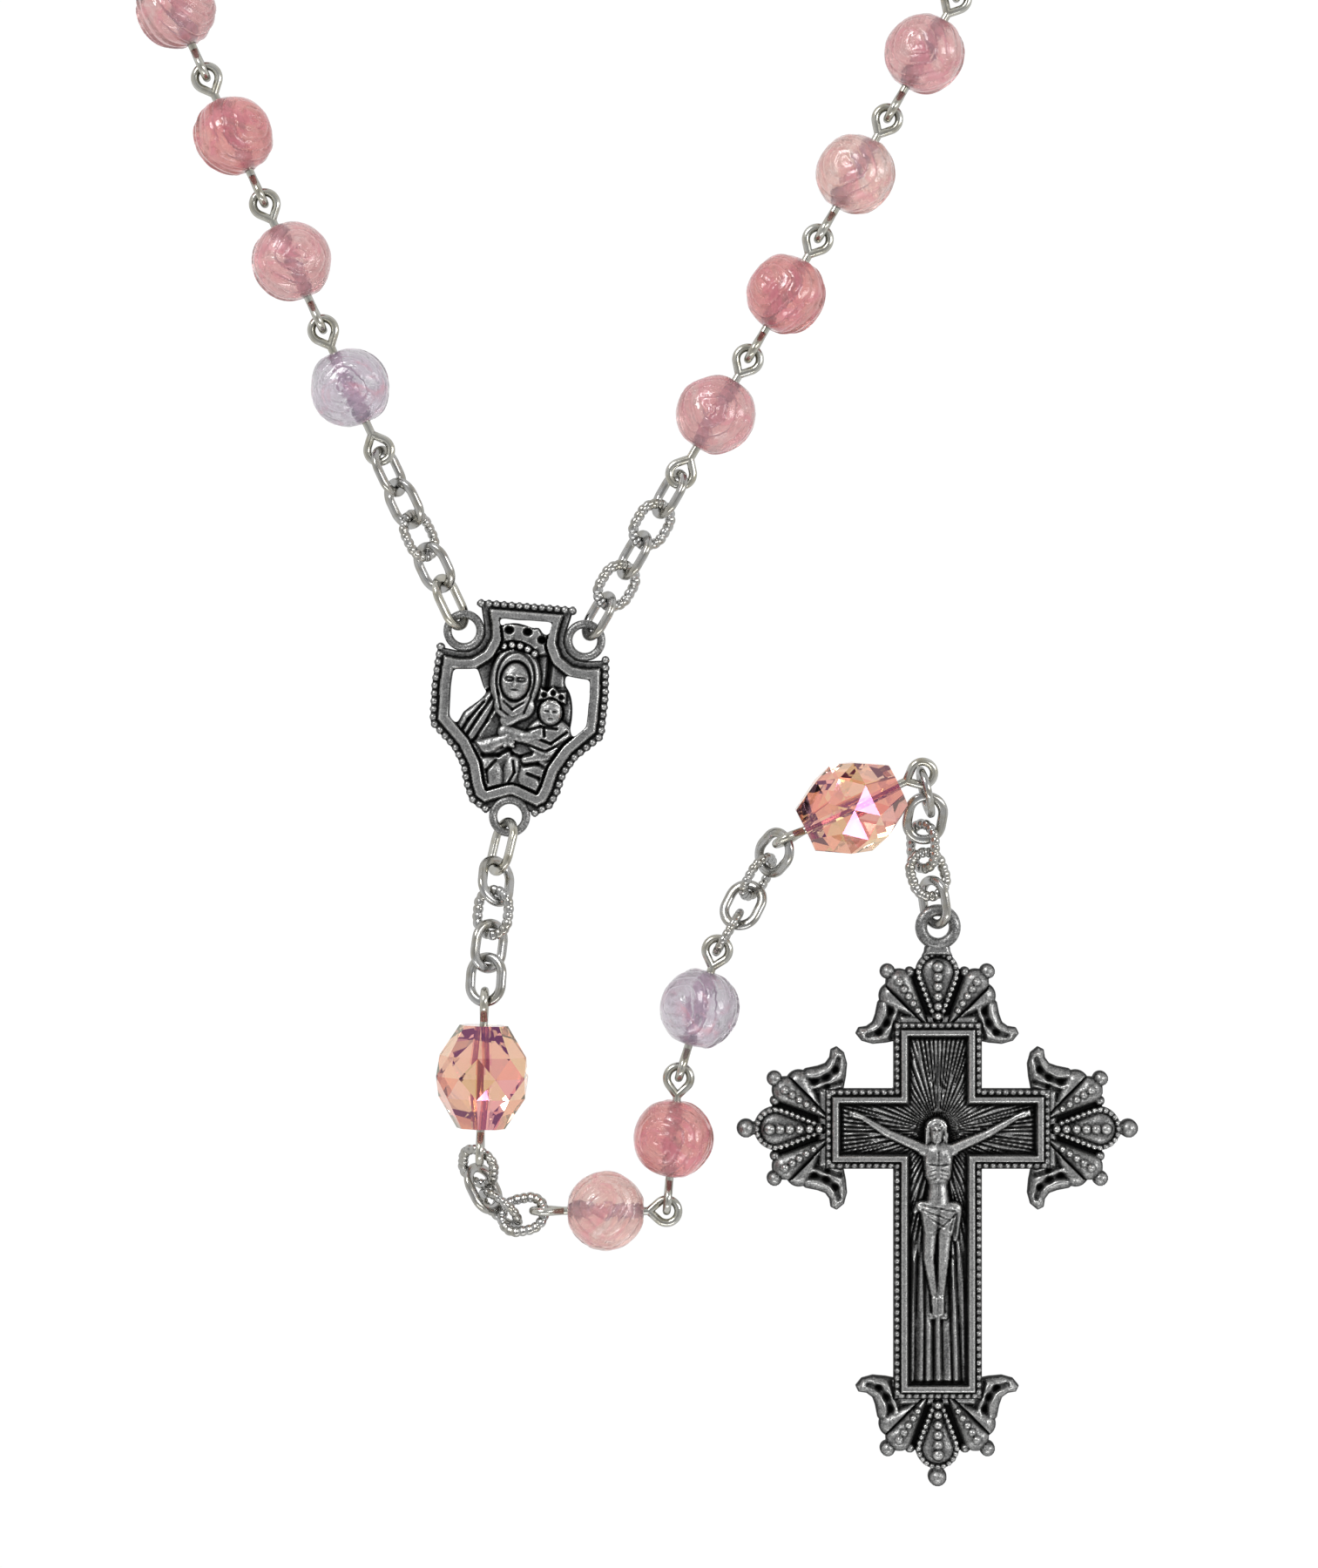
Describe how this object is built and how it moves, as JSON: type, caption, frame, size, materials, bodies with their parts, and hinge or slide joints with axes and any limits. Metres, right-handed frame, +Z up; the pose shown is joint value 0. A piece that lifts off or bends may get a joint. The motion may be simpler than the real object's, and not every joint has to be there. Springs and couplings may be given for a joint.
{
  "type": "rosary",
  "caption": "Rosary of rose glass beads on eye-pins and oval links, with faceted large beads, an oxidised silver medal of a crowned mother and child and a beaded crucifix with palmette ends.",
  "frame": {"origin": "bottom centre of the rosary laid out flat, on the table", "axes": "+Z up from the table, +Y from the crucifix towards the top of the loop, +X to the right seen from above"},
  "size_m": [0.175, 0.3962, 0.0082],
  "materials": {
    "antique_silver": "oxidised cast silver, dark in the recesses and satin on the high points",
    "nickel_wire": "polished nickel-plated wire",
    "rose_glass": "pressed rose glass, swirled pink and peach",
    "amber_glass": "faceted peach glass with an iridescent coating"
  },
  "bodies": {
    "medal": {"medal": "antique_silver"},
    "left_chain": {"left_jump_ring": "nickel_wire", "left_chain_links": "nickel_wire"},
    "left_pin_1": {"left_pin_1": "nickel_wire"},
    "left_bead_1": {"left_bead_1": "rose_glass"},
    "left_pin_2": {"left_pin_2": "nickel_wire"},
    "left_bead_2": {"left_bead_2": "rose_glass"},
    "left_pin_3": {"left_pin_3": "nickel_wire"},
    "left_bead_3": {"left_bead_3": "rose_glass"},
    "left_pin_4": {"left_pin_4": "nickel_wire"},
    "left_bead_4": {"left_bead_4": "rose_glass"},
    "decade_1_rest": {"decade_1_pins": "nickel_wire", "decade_1_beads": "rose_glass"},
    "our_father_a": {"our_father_pin_a": "nickel_wire", "our_father_links_a": "nickel_wire"},
    "our_father_bead_a": {"our_father_bead_a": "amber_glass"},
    "decade_2": {"decade_2_pins": "nickel_wire", "decade_2_beads": "rose_glass"},
    "right_chain": {"right_chain_links": "nickel_wire"},
    "right_pin_1": {"right_pin_1": "nickel_wire"},
    "right_bead_1": {"right_bead_1": "rose_glass"},
    "right_pin_2": {"right_pin_2": "nickel_wire"},
    "right_bead_2": {"right_bead_2": "rose_glass"},
    "right_pin_3": {"right_pin_3": "nickel_wire"},
    "right_bead_3": {"right_bead_3": "rose_glass"},
    "right_pin_4": {"right_pin_4": "nickel_wire"},
    "right_bead_4": {"right_bead_4": "rose_glass"},
    "decade_5_rest": {"decade_5_pins": "nickel_wire", "decade_5_beads": "rose_glass"},
    "our_father_d": {"our_father_pin_d": "nickel_wire", "our_father_links_d": "nickel_wire"},
    "our_father_bead_d": {"our_father_bead_d": "amber_glass"},
    "decade_4": {"decade_4_pins": "nickel_wire", "decade_4_beads": "rose_glass"},
    "decade_3": {"our_father_pin_b": "nickel_wire", "our_father_links_b": "nickel_wire", "decade_3_pins": "nickel_wire", "decade_3_beads": "rose_glass", "our_father_pin_c": "nickel_wire", "our_father_links_c": "nickel_wire"},
    "our_father_bead_b": {"our_father_bead_b": "amber_glass"},
    "our_father_bead_c": {"our_father_bead_c": "amber_glass"},
    "pendant_chain_1": {"pendant_jump_ring": "nickel_wire", "pendant_chain_1": "nickel_wire"},
    "pendant_our_father_1_pin": {"pendant_our_father_1_pin": "nickel_wire"},
    "pendant_our_father_1_bead": {"pendant_our_father_1_bead": "amber_glass"},
    "pendant_hail_mary_1_pin": {"pendant_hail_mary_1_pin": "nickel_wire"},
    "pendant_hail_mary_1_bead": {"pendant_hail_mary_1_bead": "rose_glass"},
    "pendant_hail_mary_2_pin": {"pendant_hail_mary_2_pin": "nickel_wire"},
    "pendant_hail_mary_2_bead": {"pendant_hail_mary_2_bead": "rose_glass"},
    "pendant_hail_mary_3_pin": {"pendant_hail_mary_3_pin": "nickel_wire"},
    "pendant_hail_mary_3_bead": {"pendant_hail_mary_3_bead": "rose_glass"},
    "pendant_our_father_2_pin": {"pendant_our_father_2_pin": "nickel_wire"},
    "pendant_our_father_2_bead": {"pendant_our_father_2_bead": "amber_glass"},
    "pendant_chain_2": {"pendant_chain_2": "nickel_wire"},
    "pendant_chain_3": {"pendant_chain_3": "nickel_wire"},
    "pendant_chain_4": {"pendant_chain_4": "nickel_wire"},
    "crucifix": {"crucifix": "antique_silver"}
  },
  "joints": [
    {"name": "left_fold_0", "type": "hinge", "parent": "medal", "child": "left_chain", "pos_m": [-0.01585, -0.12409, 0.00195], "axis": [0.997, -0.078, 0], "range_deg": [-40, 25]},
    {"name": "right_fold_0", "type": "hinge", "parent": "medal", "child": "right_chain", "pos_m": [-0.00426, -0.125, 0.00195], "axis": [0.997, -0.078, 0], "range_deg": [-40, 25]},
    {"name": "left_fold_1", "type": "hinge", "parent": "left_chain", "child": "left_pin_1", "pos_m": [-0.0219, -0.11111, 0.0039], "axis": [-0.9969, 0.0792, 0], "range_deg": [-40, 12]},
    {"name": "right_fold_1", "type": "hinge", "parent": "right_chain", "child": "right_pin_1", "pos_m": [0.00271, -0.11306, 0.0039], "axis": [-0.9969, 0.0792, 0], "range_deg": [-40, 12]},
    {"name": "left_fold_2", "type": "hinge", "parent": "left_pin_1", "child": "left_pin_2", "pos_m": [-0.02748, -0.09912, 0.0039], "axis": [0.9977, -0.0683, 0], "range_deg": [-40, 40]},
    {"name": "right_fold_2", "type": "hinge", "parent": "right_pin_1", "child": "right_pin_2", "pos_m": [0.00938, -0.10164, 0.0039], "axis": [0.9977, -0.0683, 0], "range_deg": [-40, 40]},
    {"name": "left_fold_3", "type": "hinge", "parent": "left_pin_2", "child": "left_pin_3", "pos_m": [-0.03242, -0.08846, 0.0039], "axis": [-0.998, 0.0633, 0], "range_deg": [-40, 40]},
    {"name": "right_fold_3", "type": "hinge", "parent": "right_pin_2", "child": "right_pin_3", "pos_m": [0.01528, -0.09148, 0.0039], "axis": [-0.998, 0.0633, 0], "range_deg": [-40, 40]},
    {"name": "left_fold_4", "type": "hinge", "parent": "left_pin_3", "child": "left_pin_4", "pos_m": [-0.03733, -0.07778, 0.0039], "axis": [0.9982, -0.0602, 0], "range_deg": [-40, 40]},
    {"name": "right_fold_4", "type": "hinge", "parent": "right_pin_3", "child": "right_pin_4", "pos_m": [0.02116, -0.08131, 0.0039], "axis": [0.9982, -0.0602, 0], "range_deg": [-40, 40]},
    {"name": "left_fold_5", "type": "hinge", "parent": "left_pin_4", "child": "decade_1_rest", "pos_m": [-0.04218, -0.06708, 0.0039], "axis": [-0.9983, 0.0581, 0], "range_deg": [-40, 40]},
    {"name": "right_fold_5", "type": "hinge", "parent": "right_pin_4", "child": "decade_5_rest", "pos_m": [0.02699, -0.0711, 0.0039], "axis": [-0.9983, 0.0581, 0], "range_deg": [-40, 40]},
    {"name": "left_fold_6", "type": "hinge", "parent": "decade_1_rest", "child": "our_father_a", "pos_m": [-0.06858, -0.00173, 0.0039], "axis": [0.9986, -0.0533, 0], "range_deg": [-30, 20]},
    {"name": "right_fold_6", "type": "hinge", "parent": "decade_5_rest", "child": "our_father_d", "pos_m": [0.05948, -0.00856, 0.0039], "axis": [0.9986, -0.0533, 0], "range_deg": [-30, 20]},
    {"name": "left_fold_7", "type": "hinge", "parent": "our_father_a", "child": "decade_2", "pos_m": [-0.07828, 0.03223, 0.0039], "axis": [-0.9986, 0.0526, 0], "range_deg": [-40, 40]},
    {"name": "right_fold_7", "type": "hinge", "parent": "our_father_d", "child": "decade_4", "pos_m": [0.07247, 0.02429, 0.0039], "axis": [-0.9986, 0.0526, 0], "range_deg": [-40, 40]},
    {"name": "left_fold_8", "type": "hinge", "parent": "decade_2", "child": "decade_3", "pos_m": [-0.06911, 0.14697, 0.0039], "axis": [0.9986, -0.0524, 0], "range_deg": [-30, 20]},
    {"name": "pendant_lift", "type": "hinge", "parent": "medal", "child": "pendant_chain_1", "pos_m": [-0.01169, -0.14254, 0.00195], "axis": [0.9736, -0.2284, 0], "range_deg": [-60, 60]},
    {"name": "our_father_1_swing", "type": "hinge", "parent": "pendant_chain_1", "child": "pendant_our_father_1_pin", "pos_m": [-0.01336, -0.15588, 0.0045], "axis": [0, 0, 1], "range_deg": [-25, 20]},
    {"name": "chain_2_lift", "type": "hinge", "parent": "pendant_our_father_1_pin", "child": "pendant_chain_2", "pos_m": [-0.01377, -0.16942, 0.0045], "axis": [0.991, -0.134, 0], "range_deg": [-25, 25]},
    {"name": "hail_mary_1_swing", "type": "hinge", "parent": "pendant_chain_2", "child": "pendant_hail_mary_1_pin", "pos_m": [-0.00932, -0.17452, 0.0039], "axis": [0, 0, 1], "range_deg": [-30, 10]},
    {"name": "hail_mary_2_swing", "type": "hinge", "parent": "pendant_hail_mary_1_pin", "child": "pendant_hail_mary_2_pin", "pos_m": [0.00198, -0.17455, 0.0039], "axis": [0, 0, 1], "range_deg": [-40, 8]},
    {"name": "hail_mary_3_lift", "type": "hinge", "parent": "pendant_hail_mary_2_pin", "child": "pendant_hail_mary_3_pin", "pos_m": [0.0031, -0.16231, 0.0039], "axis": [-0.9573, 0.289, 0], "range_deg": [-40, 40]},
    {"name": "chain_3_swing", "type": "hinge", "parent": "pendant_hail_mary_3_pin", "child": "pendant_chain_3", "pos_m": [0.00628, -0.15248, 0.0039], "axis": [0, 0, 1], "range_deg": [-3, 30]},
    {"name": "our_father_2_lift", "type": "hinge", "parent": "pendant_chain_3", "child": "pendant_our_father_2_pin", "pos_m": [0.0121, -0.14308, 0.0045], "axis": [-0.4352, 0.9003, 0], "range_deg": [-30, 30]},
    {"name": "chain_4_swing", "type": "hinge", "parent": "pendant_our_father_2_pin", "child": "pendant_chain_4", "pos_m": [0.02449, -0.13709, 0.0045], "axis": [0, 0, 1], "range_deg": [-3, 8]},
    {"name": "crucifix_lift", "type": "hinge", "parent": "pendant_chain_4", "child": "crucifix", "pos_m": [0.0251, -0.14917, 0.00195], "axis": [1, 0, 0], "range_deg": [-24, 10]},
    {"name": "left_bead_1_spin", "type": "hinge", "parent": "left_pin_1", "child": "left_bead_1", "pos_m": [-0.02479, -0.1049, 0.0039], "axis": [-0.422, 0.9066, 0], "continuous": true},
    {"name": "left_bead_2_spin", "type": "hinge", "parent": "left_pin_2", "child": "left_bead_2", "pos_m": [-0.02974, -0.09424, 0.0039], "axis": [-0.4205, 0.9073, 0], "continuous": true},
    {"name": "left_bead_3_spin", "type": "hinge", "parent": "left_pin_3", "child": "left_bead_3", "pos_m": [-0.03466, -0.08357, 0.0039], "axis": [-0.4178, 0.9086, 0], "continuous": true},
    {"name": "left_bead_4_spin", "type": "hinge", "parent": "left_pin_4", "child": "left_bead_4", "pos_m": [-0.03955, -0.07288, 0.0039], "axis": [-0.4134, 0.9106, 0], "continuous": true},
    {"name": "right_bead_1_spin", "type": "hinge", "parent": "right_pin_1", "child": "right_bead_1", "pos_m": [0.00616, -0.10715, 0.0039], "axis": [0.504, 0.8637, 0], "continuous": true},
    {"name": "right_bead_2_spin", "type": "hinge", "parent": "right_pin_2", "child": "right_bead_2", "pos_m": [0.01208, -0.09699, 0.0039], "axis": [0.5027, 0.8644, 0], "continuous": true},
    {"name": "right_bead_3_spin", "type": "hinge", "parent": "right_pin_3", "child": "right_bead_3", "pos_m": [0.01797, -0.08683, 0.0039], "axis": [0.5003, 0.8658, 0], "continuous": true},
    {"name": "right_bead_4_spin", "type": "hinge", "parent": "right_pin_4", "child": "right_bead_4", "pos_m": [0.02382, -0.07664, 0.0039], "axis": [0.4964, 0.8681, 0], "continuous": true},
    {"name": "our_father_a_spin", "type": "hinge", "parent": "our_father_a", "child": "our_father_bead_a", "pos_m": [-0.0737, 0.01479, 0.0045], "axis": [-0.2778, 0.9606, 0], "continuous": true},
    {"name": "our_father_d_spin", "type": "hinge", "parent": "our_father_d", "child": "our_father_bead_d", "pos_m": [0.06619, 0.00738, 0.0045], "axis": [0.3706, 0.9288, 0], "continuous": true},
    {"name": "our_father_b_spin", "type": "hinge", "parent": "decade_3", "child": "our_father_bead_b", "pos_m": [-0.0596, 0.16139, 0.0045], "axis": [0.607, 0.7947, 0], "continuous": true},
    {"name": "our_father_c_spin", "type": "hinge", "parent": "decade_3", "child": "our_father_bead_c", "pos_m": [0.06717, 0.15474, 0.0045], "axis": [-0.5204, 0.8539, 0], "continuous": true},
    {"name": "our_father_1_spin", "type": "hinge", "parent": "pendant_our_father_1_pin", "child": "pendant_our_father_1_bead", "pos_m": [-0.01358, -0.16315, 0.0045], "axis": [-0.0297, -0.9996, 0], "continuous": true},
    {"name": "our_father_2_spin", "type": "hinge", "parent": "pendant_our_father_2_pin", "child": "pendant_our_father_2_bead", "pos_m": [0.01761, -0.14041, 0.0045], "axis": [0.9003, 0.4352, 0], "continuous": true},
    {"name": "hail_mary_1_spin", "type": "hinge", "parent": "pendant_hail_mary_1_pin", "child": "pendant_hail_mary_1_bead", "pos_m": [-0.00317, -0.17454, 0.0039], "axis": [1, -0.0035, 0], "continuous": true},
    {"name": "hail_mary_2_spin", "type": "hinge", "parent": "pendant_hail_mary_2_pin", "child": "pendant_hail_mary_2_bead", "pos_m": [0.00254, -0.16843, 0.0039], "axis": [0.0906, 0.9959, 0], "continuous": true},
    {"name": "hail_mary_3_spin", "type": "hinge", "parent": "pendant_hail_mary_3_pin", "child": "pendant_hail_mary_3_bead", "pos_m": [0.00479, -0.15741, 0.0039], "axis": [0.289, 0.9573, 0], "continuous": true}
  ],
  "couplings": [
    {"joint": "right_fold_0", "follows": "left_fold_0", "ratio": 1},
    {"joint": "right_fold_1", "follows": "left_fold_1", "ratio": 1},
    {"joint": "right_fold_2", "follows": "left_fold_2", "ratio": 1},
    {"joint": "right_fold_3", "follows": "left_fold_3", "ratio": 1},
    {"joint": "right_fold_4", "follows": "left_fold_4", "ratio": 1},
    {"joint": "right_fold_5", "follows": "left_fold_5", "ratio": 1},
    {"joint": "right_fold_6", "follows": "left_fold_6", "ratio": 1},
    {"joint": "right_fold_7", "follows": "left_fold_7", "ratio": 1}
  ]
}
